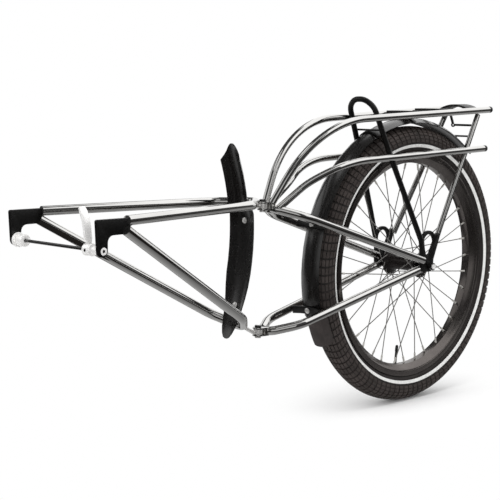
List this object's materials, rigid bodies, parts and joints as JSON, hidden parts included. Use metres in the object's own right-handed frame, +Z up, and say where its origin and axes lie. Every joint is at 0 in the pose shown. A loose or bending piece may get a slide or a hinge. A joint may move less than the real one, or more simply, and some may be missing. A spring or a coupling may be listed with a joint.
{
  "type": "bike cargo trailer",
  "caption": "Narrow bike trailer: a yoke with its own mudguard hangs on the rear skewer, and a hinged rear frame carries a rack, a hand hoop and a guarded wheel.",
  "frame": {"origin": "middle of the bike's rear axle, on the skewer's centre line", "axes": "+X the travel direction, from the trailer to the bike, +Y to the left along the skewer, +Z up"},
  "size_m": [1.0662, 0.2206, 0.5649],
  "materials": {
    "chrome_tube": "polished",
    "black_powder_coat": "satin",
    "zinc_steel": "bright",
    "gloss_black_sheet": "glossy",
    "black_anodised": "satin",
    "tyre_rubber": "matte",
    "flap_rubber": "matte",
    "black_plastic": "matte"
  },
  "bodies": {
    "yoke": {"yoke_upper_tube": "chrome_tube", "yoke_lower_tube": "chrome_tube", "left_dropout_plate": "black_powder_coat", "right_dropout_plate": "black_powder_coat", "upper_rod_end": "zinc_steel", "lower_rod_end": "zinc_steel", "bike_mudguard": "gloss_black_sheet", "upper_fender_tab": "chrome_tube", "lower_fender_tab": "chrome_tube", "upper_bike_guard_bolt": "zinc_steel", "lower_bike_guard_bolt": "zinc_steel"},
    "skewer": {"skewer_rod": "chrome_tube", "skewer_head": "chrome_tube", "lever_pin": "chrome_tube", "left_spigot": "chrome_tube"},
    "qr_lever": {"qr_lever": "chrome_tube"},
    "adjusting_nut": {"adjusting_nut": "chrome_tube"},
    "rear_frame": {"upper_clevis": "black_powder_coat", "lower_clevis": "black_powder_coat", "upper_hinge_bolt": "zinc_steel", "lower_hinge_bolt": "zinc_steel", "upper_hinge_nut": "black_powder_coat", "lower_hinge_nut": "black_powder_coat", "upper_stays": "chrome_tube", "lower_stays": "chrome_tube", "left_top_rail": "chrome_tube", "right_top_rail": "chrome_tube", "left_side_rail": "chrome_tube", "right_side_rail": "chrome_tube", "left_top_rail_cap": "black_plastic", "right_top_rail_cap": "black_plastic", "left_side_rail_cap": "black_plastic", "right_side_rail_cap": "black_plastic", "hand_hoop": "black_powder_coat", "left_rear_strut": "chrome_tube", "right_rear_strut": "chrome_tube", "left_arch_dropout": "black_powder_coat", "right_arch_dropout": "black_powder_coat", "front_slat": "black_powder_coat", "middle_slat": "black_powder_coat", "rear_hump_plate": "black_powder_coat", "light_bracket": "black_powder_coat", "wheel_mudguard": "gloss_black_sheet", "mud_flap": "flap_rubber", "front_guard_band": "black_powder_coat", "top_guard_band": "black_powder_coat", "guard_post": "black_powder_coat", "upper_mudguard_bridge": "black_powder_coat", "lower_mudguard_bridge": "black_powder_coat", "upper_mudguard_bolt": "zinc_steel", "lower_mudguard_bolt": "zinc_steel", "mudguard_wire": "black_powder_coat", "mudguard_rear_stay": "black_powder_coat", "axle": "zinc_steel", "left_axle_nut": "black_plastic", "right_axle_nut": "black_plastic"},
    "wheel": {"rim": "black_anodised", "tyre": "tyre_rubber", "hub_and_spokes": "black_anodised", "valve": "black_plastic"}
  },
  "joints": [
    {"name": "yoke_pitch", "type": "hinge", "parent": "yoke", "child": "skewer", "pos_m": [0, 0, 0], "axis": [0, 1, 0], "range_deg": [-35, 35]},
    {"name": "lever_swing", "type": "hinge", "parent": "skewer", "child": "qr_lever", "pos_m": [0, 0.0733, 0], "axis": [-1, 0, 0], "range_deg": [0, 28]},
    {"name": "nut_turn", "type": "hinge", "parent": "skewer", "child": "adjusting_nut", "pos_m": [0, 0, 0], "axis": [0, 1, 0], "continuous": true},
    {"name": "steering", "type": "hinge", "parent": "yoke", "child": "rear_frame", "pos_m": [-0.41, 0, -0.1804], "axis": [-0.0523, 0, 0.9986], "range_deg": [-75, 75]},
    {"name": "wheel_spin", "type": "hinge", "parent": "rear_frame", "child": "wheel", "pos_m": [-0.799, 0, -0.1024], "axis": [0, 1, 0], "continuous": true}
  ]
}
